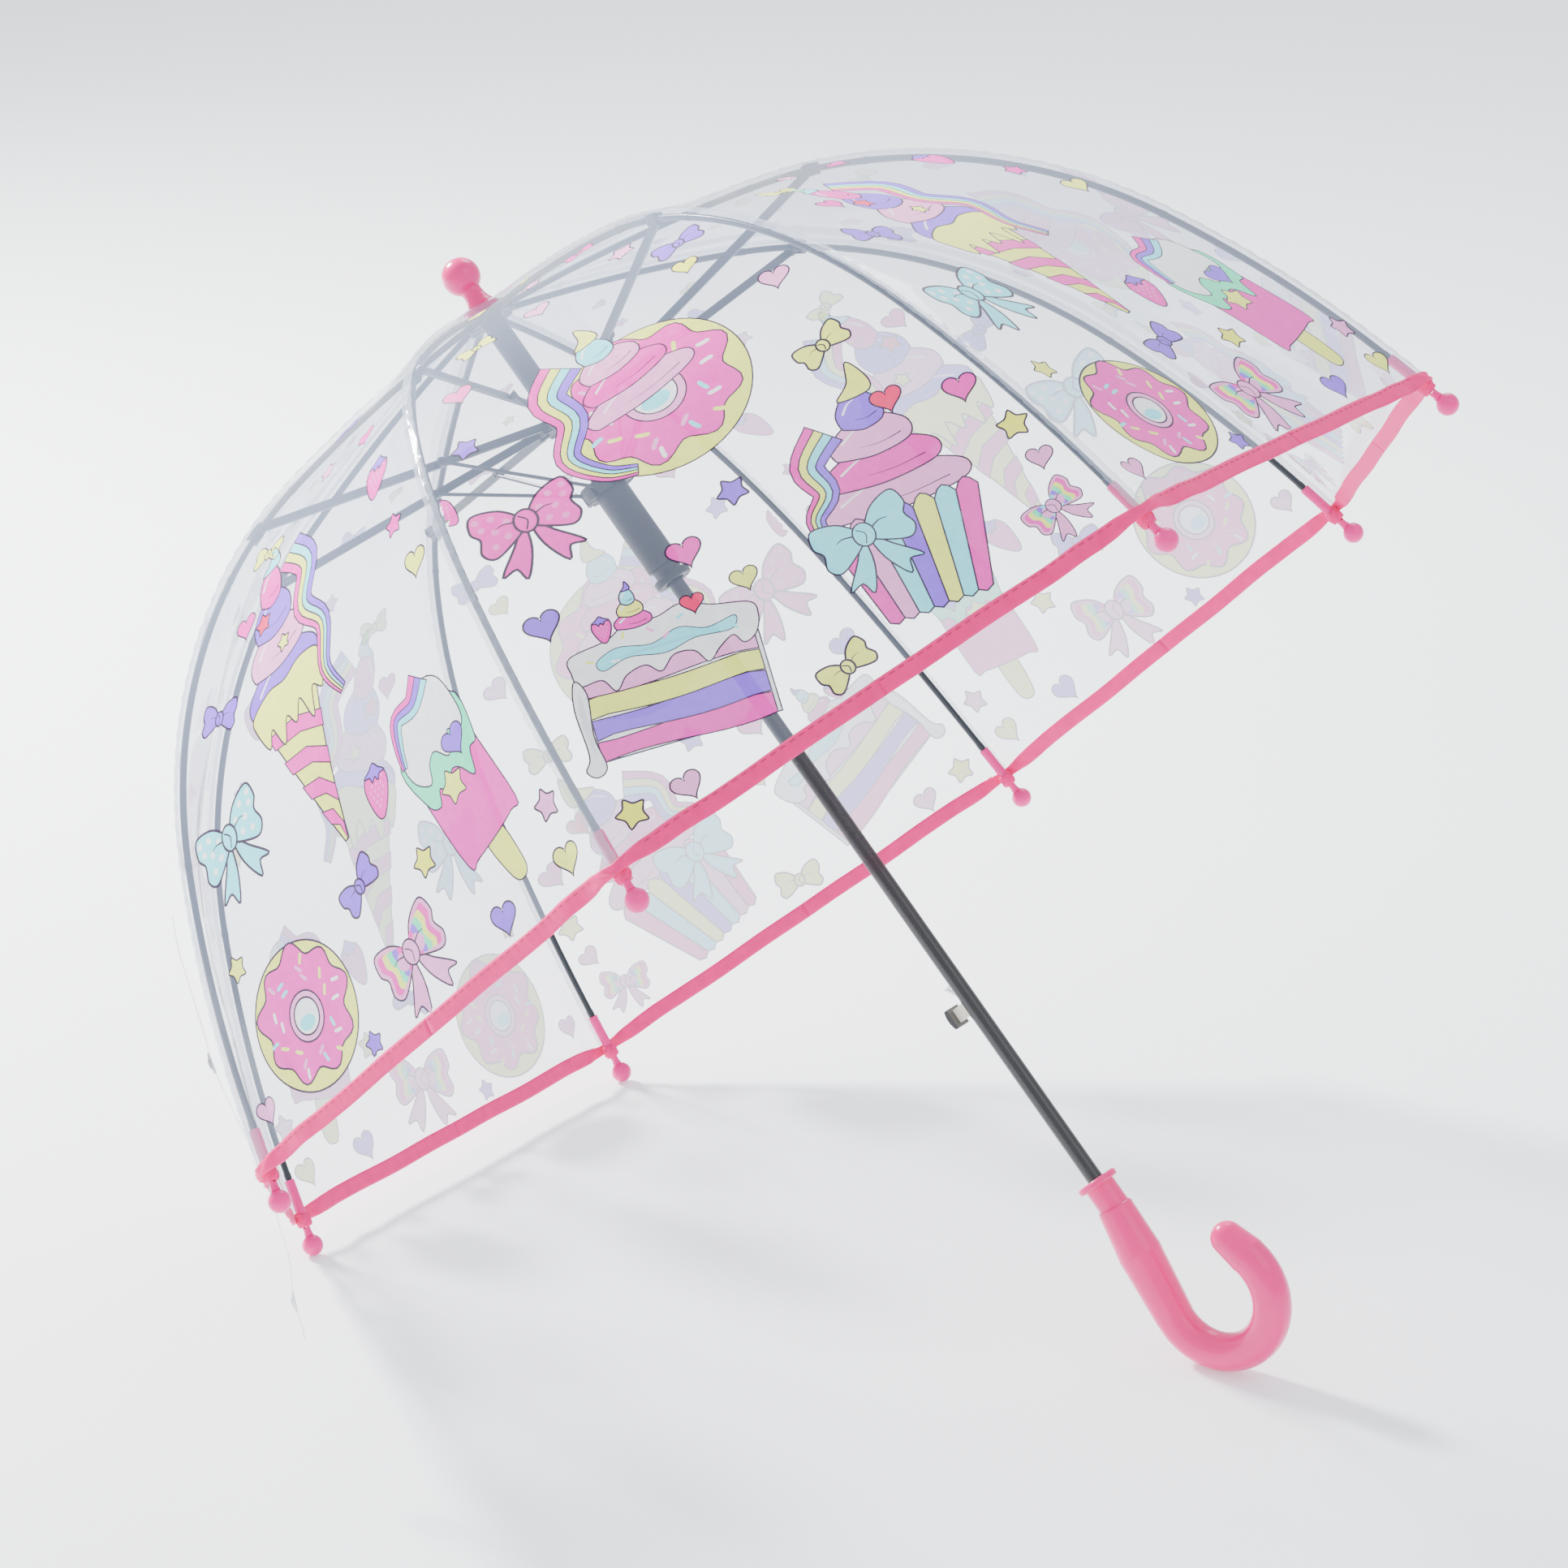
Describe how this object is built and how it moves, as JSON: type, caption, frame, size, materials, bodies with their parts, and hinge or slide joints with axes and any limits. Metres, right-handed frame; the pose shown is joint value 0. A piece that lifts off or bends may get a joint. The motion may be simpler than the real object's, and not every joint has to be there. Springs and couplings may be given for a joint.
{
  "type": "children's dome umbrella",
  "caption": "Children's dome umbrella with a clear printed canopy, folding steel ribs, push-button release and a pink crook handle.",
  "frame": {"origin": "on the shaft line, at the middle of the grip", "axes": "+Z along the shaft from the handle towards the finial, +X the way the crook opens, -X the way the release button faces"},
  "size_m": [0.648, 0.648, 0.6518],
  "materials": {
    "shaft_paint": "gloss",
    "frame_paint": "satin",
    "strut_wire": "satin",
    "black_plastic": "satin",
    "pink_plastic": "gloss",
    "tip_plastic": "gloss",
    "spring_steel": "satin",
    "clear_film": "gloss",
    "stud_plastic": "gloss",
    "button_stem": "gloss",
    "hem_tape": "matte",
    "hem_stitch": "matte",
    "seam_weld": "gloss",
    "ink_hot_pink": "gloss",
    "ink_light_pink": "gloss",
    "ink_purple": "gloss",
    "ink_yellow": "gloss",
    "ink_blue": "gloss",
    "ink_mint": "gloss",
    "ink_white": "gloss",
    "ink_outline": "gloss",
    "ink_red": "gloss"
  },
  "bodies": {
    "base": {"shaft_tube": "shaft_paint", "crown_notch": "black_plastic", "finial": "pink_plastic", "handle_crook": "pink_plastic", "handle_collar": "pink_plastic"},
    "upper_ring": {"upper_ring": "black_plastic"},
    "runner": {"runner_tube": "black_plastic", "drive_spring": "spring_steel"},
    "button": {"catch_spring": "spring_steel", "push_button": "black_plastic"},
    "rib_1_upper": {"rib_upper_1": "frame_paint"},
    "rib_1_lower": {"rib_lower_1": "frame_paint", "rib_tip_1": "tip_plastic", "canopy_1": "clear_film"},
    "stretcher_1": {"stretcher_1": "frame_paint"},
    "strut_1": {"strut_1": "strut_wire"},
    "rib_2_upper": {"rib_upper_2": "frame_paint"},
    "rib_2_lower": {"rib_lower_2": "frame_paint", "rib_tip_2": "tip_plastic", "canopy_2": "clear_film", "tie_strap": "clear_film", "press_studs": "stud_plastic"},
    "stretcher_2": {"stretcher_2": "frame_paint"},
    "strut_2": {"strut_2": "strut_wire"},
    "rib_3_upper": {"rib_upper_3": "frame_paint"},
    "rib_3_lower": {"rib_lower_3": "frame_paint", "rib_tip_3": "tip_plastic", "canopy_3": "clear_film"},
    "stretcher_3": {"stretcher_3": "frame_paint"},
    "strut_3": {"strut_3": "strut_wire"},
    "rib_4_upper": {"rib_upper_4": "frame_paint"},
    "rib_4_lower": {"rib_lower_4": "frame_paint", "rib_tip_4": "tip_plastic", "canopy_4": "clear_film"},
    "stretcher_4": {"stretcher_4": "frame_paint"},
    "strut_4": {"strut_4": "strut_wire"},
    "rib_5_upper": {"rib_upper_5": "frame_paint"},
    "rib_5_lower": {"rib_lower_5": "frame_paint", "rib_tip_5": "tip_plastic", "canopy_5": "clear_film"},
    "stretcher_5": {"stretcher_5": "frame_paint"},
    "strut_5": {"strut_5": "strut_wire"},
    "rib_6_upper": {"rib_upper_6": "frame_paint"},
    "rib_6_lower": {"rib_lower_6": "frame_paint", "rib_tip_6": "tip_plastic", "canopy_6": "clear_film"},
    "stretcher_6": {"stretcher_6": "frame_paint"},
    "strut_6": {"strut_6": "strut_wire"},
    "rib_7_upper": {"rib_upper_7": "frame_paint"},
    "rib_7_lower": {"rib_lower_7": "frame_paint", "rib_tip_7": "tip_plastic", "canopy_7": "clear_film"},
    "stretcher_7": {"stretcher_7": "frame_paint"},
    "strut_7": {"strut_7": "strut_wire"},
    "rib_8_upper": {"rib_upper_8": "frame_paint"},
    "rib_8_lower": {"rib_lower_8": "frame_paint", "rib_tip_8": "tip_plastic", "canopy_8": "clear_film"},
    "stretcher_8": {"stretcher_8": "frame_paint"},
    "strut_8": {"strut_8": "strut_wire"}
  },
  "joints": [
    {"name": "runner_slide", "type": "slide", "parent": "base", "child": "runner", "axis": [0, 0, 1], "range_m": [-0.23174, 0], "stiffness_N_per_m": 100, "springref_m": 0.04, "deforming": ["drive_spring"]},
    {"name": "ring_slide", "type": "slide", "parent": "base", "child": "upper_ring", "axis": [0, 0, 1], "range_m": [-0.25403, 0]},
    {"name": "button_press", "type": "slide", "parent": "base", "child": "button", "axis": [1, 0, 0], "range_m": [0, 0.0035], "stiffness_N_per_m": 600},
    {"name": "rib_1_crown", "type": "hinge", "parent": "base", "child": "rib_1_upper", "pos_m": [-0.00924, -0.00383, 0.54455], "axis": [-0.3827, 0.9239, 0], "range_deg": [-65.05, 0]},
    {"name": "rib_1_elbow", "type": "hinge", "parent": "rib_1_upper", "child": "rib_1_lower", "pos_m": [-0.15477, -0.06411, 0.5045], "axis": [-0.3827, 0.9239, 0], "range_deg": [0, 27.37], "deforming": ["canopy_1"]},
    {"name": "stretcher_1_pivot", "type": "hinge", "parent": "upper_ring", "child": "stretcher_1", "pos_m": [-0.00813, -0.00781, 0.48315], "axis": [-0.3827, 0.9239, 0], "range_deg": [0, 71.48]},
    {"name": "strut_1_pivot", "type": "hinge", "parent": "runner", "child": "strut_1", "pos_m": [-0.00595, -0.00993, 0.44445], "axis": [-0.3827, 0.9239, 0], "range_deg": [0, 43.37]},
    {"name": "rib_2_crown", "type": "hinge", "parent": "base", "child": "rib_2_upper", "pos_m": [-0.00383, -0.00924, 0.54455], "axis": [-0.9239, 0.3827, 0], "range_deg": [-65.05, 0]},
    {"name": "rib_2_elbow", "type": "hinge", "parent": "rib_2_upper", "child": "rib_2_lower", "pos_m": [-0.06411, -0.15477, 0.5045], "axis": [-0.9239, 0.3827, 0], "range_deg": [0, 27.37], "deforming": ["canopy_2", "tie_strap"]},
    {"name": "stretcher_2_pivot", "type": "hinge", "parent": "upper_ring", "child": "stretcher_2", "pos_m": [-0.00023, -0.01127, 0.48315], "axis": [-0.9239, 0.3827, 0], "range_deg": [0, 71.48]},
    {"name": "strut_2_pivot", "type": "hinge", "parent": "runner", "child": "strut_2", "pos_m": [0.00282, -0.01123, 0.44445], "axis": [-0.9239, 0.3827, 0], "range_deg": [0, 43.37]},
    {"name": "rib_3_crown", "type": "hinge", "parent": "base", "child": "rib_3_upper", "pos_m": [0.00383, -0.00924, 0.54455], "axis": [-0.9239, -0.3827, 0], "range_deg": [-65.05, 0]},
    {"name": "rib_3_elbow", "type": "hinge", "parent": "rib_3_upper", "child": "rib_3_lower", "pos_m": [0.06411, -0.15477, 0.5045], "axis": [-0.9239, -0.3827, 0], "range_deg": [0, 27.37], "deforming": ["canopy_3"]},
    {"name": "stretcher_3_pivot", "type": "hinge", "parent": "upper_ring", "child": "stretcher_3", "pos_m": [0.00781, -0.00813, 0.48315], "axis": [-0.9239, -0.3827, 0], "range_deg": [0, 71.48]},
    {"name": "strut_3_pivot", "type": "hinge", "parent": "runner", "child": "strut_3", "pos_m": [0.00993, -0.00595, 0.44445], "axis": [-0.9239, -0.3827, 0], "range_deg": [0, 43.37]},
    {"name": "rib_4_crown", "type": "hinge", "parent": "base", "child": "rib_4_upper", "pos_m": [0.00924, -0.00383, 0.54455], "axis": [-0.3827, -0.9239, 0], "range_deg": [-65.05, 0]},
    {"name": "rib_4_elbow", "type": "hinge", "parent": "rib_4_upper", "child": "rib_4_lower", "pos_m": [0.15477, -0.06411, 0.5045], "axis": [-0.3827, -0.9239, 0], "range_deg": [0, 27.37], "deforming": ["canopy_4"]},
    {"name": "stretcher_4_pivot", "type": "hinge", "parent": "upper_ring", "child": "stretcher_4", "pos_m": [0.01127, -0.00023, 0.48315], "axis": [-0.3827, -0.9239, 0], "range_deg": [0, 71.48]},
    {"name": "strut_4_pivot", "type": "hinge", "parent": "runner", "child": "strut_4", "pos_m": [0.01123, 0.00282, 0.44445], "axis": [-0.3827, -0.9239, 0], "range_deg": [0, 43.37]},
    {"name": "rib_5_crown", "type": "hinge", "parent": "base", "child": "rib_5_upper", "pos_m": [0.00924, 0.00383, 0.54455], "axis": [0.3827, -0.9239, 0], "range_deg": [-65.05, 0]},
    {"name": "rib_5_elbow", "type": "hinge", "parent": "rib_5_upper", "child": "rib_5_lower", "pos_m": [0.15477, 0.06411, 0.5045], "axis": [0.3827, -0.9239, 0], "range_deg": [0, 27.37], "deforming": ["canopy_5"]},
    {"name": "stretcher_5_pivot", "type": "hinge", "parent": "upper_ring", "child": "stretcher_5", "pos_m": [0.00813, 0.00781, 0.48315], "axis": [0.3827, -0.9239, 0], "range_deg": [0, 71.48]},
    {"name": "strut_5_pivot", "type": "hinge", "parent": "runner", "child": "strut_5", "pos_m": [0.00595, 0.00993, 0.44445], "axis": [0.3827, -0.9239, 0], "range_deg": [0, 43.37]},
    {"name": "rib_6_crown", "type": "hinge", "parent": "base", "child": "rib_6_upper", "pos_m": [0.00383, 0.00924, 0.54455], "axis": [0.9239, -0.3827, 0], "range_deg": [-65.05, 0]},
    {"name": "rib_6_elbow", "type": "hinge", "parent": "rib_6_upper", "child": "rib_6_lower", "pos_m": [0.06411, 0.15477, 0.5045], "axis": [0.9239, -0.3827, 0], "range_deg": [0, 27.37], "deforming": ["canopy_6"]},
    {"name": "stretcher_6_pivot", "type": "hinge", "parent": "upper_ring", "child": "stretcher_6", "pos_m": [0.00023, 0.01127, 0.48315], "axis": [0.9239, -0.3827, 0], "range_deg": [0, 71.48]},
    {"name": "strut_6_pivot", "type": "hinge", "parent": "runner", "child": "strut_6", "pos_m": [-0.00282, 0.01123, 0.44445], "axis": [0.9239, -0.3827, 0], "range_deg": [0, 43.37]},
    {"name": "rib_7_crown", "type": "hinge", "parent": "base", "child": "rib_7_upper", "pos_m": [-0.00383, 0.00924, 0.54455], "axis": [0.9239, 0.3827, 0], "range_deg": [-65.05, 0]},
    {"name": "rib_7_elbow", "type": "hinge", "parent": "rib_7_upper", "child": "rib_7_lower", "pos_m": [-0.06411, 0.15477, 0.5045], "axis": [0.9239, 0.3827, 0], "range_deg": [0, 27.37], "deforming": ["canopy_7"]},
    {"name": "stretcher_7_pivot", "type": "hinge", "parent": "upper_ring", "child": "stretcher_7", "pos_m": [-0.00781, 0.00813, 0.48315], "axis": [0.9239, 0.3827, 0], "range_deg": [0, 71.48]},
    {"name": "strut_7_pivot", "type": "hinge", "parent": "runner", "child": "strut_7", "pos_m": [-0.00993, 0.00595, 0.44445], "axis": [0.9239, 0.3827, 0], "range_deg": [0, 43.37]},
    {"name": "rib_8_crown", "type": "hinge", "parent": "base", "child": "rib_8_upper", "pos_m": [-0.00924, 0.00383, 0.54455], "axis": [0.3827, 0.9239, 0], "range_deg": [-65.05, 0]},
    {"name": "rib_8_elbow", "type": "hinge", "parent": "rib_8_upper", "child": "rib_8_lower", "pos_m": [-0.15477, 0.06411, 0.5045], "axis": [0.3827, 0.9239, 0], "range_deg": [0, 27.37], "deforming": ["canopy_8"]},
    {"name": "stretcher_8_pivot", "type": "hinge", "parent": "upper_ring", "child": "stretcher_8", "pos_m": [-0.01127, 0.00023, 0.48315], "axis": [0.3827, 0.9239, 0], "range_deg": [0, 71.48]},
    {"name": "strut_8_pivot", "type": "hinge", "parent": "runner", "child": "strut_8", "pos_m": [-0.01123, -0.00282, 0.44445], "axis": [0.3827, 0.9239, 0], "range_deg": [0, 43.37]}
  ],
  "couplings": [
    {"joint": "ring_slide", "follows": "runner_slide", "ratio": 1.0957},
    {"joint": "rib_1_crown", "follows": "runner_slide", "rad_per_m": 4.8954},
    {"joint": "rib_1_elbow", "follows": "runner_slide", "rad_per_m": -2.0575},
    {"joint": "stretcher_1_pivot", "follows": "runner_slide", "rad_per_m": -5.3794},
    {"joint": "strut_1_pivot", "follows": "runner_slide", "rad_per_m": -3.2626},
    {"joint": "rib_2_crown", "follows": "runner_slide", "rad_per_m": 4.8954},
    {"joint": "rib_2_elbow", "follows": "runner_slide", "rad_per_m": -2.0575},
    {"joint": "stretcher_2_pivot", "follows": "runner_slide", "rad_per_m": -5.3794},
    {"joint": "strut_2_pivot", "follows": "runner_slide", "rad_per_m": -3.2626},
    {"joint": "rib_3_crown", "follows": "runner_slide", "rad_per_m": 4.8954},
    {"joint": "rib_3_elbow", "follows": "runner_slide", "rad_per_m": -2.0575},
    {"joint": "stretcher_3_pivot", "follows": "runner_slide", "rad_per_m": -5.3794},
    {"joint": "strut_3_pivot", "follows": "runner_slide", "rad_per_m": -3.2626},
    {"joint": "rib_4_crown", "follows": "runner_slide", "rad_per_m": 4.8954},
    {"joint": "rib_4_elbow", "follows": "runner_slide", "rad_per_m": -2.0575},
    {"joint": "stretcher_4_pivot", "follows": "runner_slide", "rad_per_m": -5.3794},
    {"joint": "strut_4_pivot", "follows": "runner_slide", "rad_per_m": -3.2626},
    {"joint": "rib_5_crown", "follows": "runner_slide", "rad_per_m": 4.8954},
    {"joint": "rib_5_elbow", "follows": "runner_slide", "rad_per_m": -2.0575},
    {"joint": "stretcher_5_pivot", "follows": "runner_slide", "rad_per_m": -5.3794},
    {"joint": "strut_5_pivot", "follows": "runner_slide", "rad_per_m": -3.2626},
    {"joint": "rib_6_crown", "follows": "runner_slide", "rad_per_m": 4.8954},
    {"joint": "rib_6_elbow", "follows": "runner_slide", "rad_per_m": -2.0575},
    {"joint": "stretcher_6_pivot", "follows": "runner_slide", "rad_per_m": -5.3794},
    {"joint": "strut_6_pivot", "follows": "runner_slide", "rad_per_m": -3.2626},
    {"joint": "rib_7_crown", "follows": "runner_slide", "rad_per_m": 4.8954},
    {"joint": "rib_7_elbow", "follows": "runner_slide", "rad_per_m": -2.0575},
    {"joint": "stretcher_7_pivot", "follows": "runner_slide", "rad_per_m": -5.3794},
    {"joint": "strut_7_pivot", "follows": "runner_slide", "rad_per_m": -3.2626},
    {"joint": "rib_8_crown", "follows": "runner_slide", "rad_per_m": 4.8954},
    {"joint": "rib_8_elbow", "follows": "runner_slide", "rad_per_m": -2.0575},
    {"joint": "stretcher_8_pivot", "follows": "runner_slide", "rad_per_m": -5.3794},
    {"joint": "strut_8_pivot", "follows": "runner_slide", "rad_per_m": -3.2626}
  ]
}
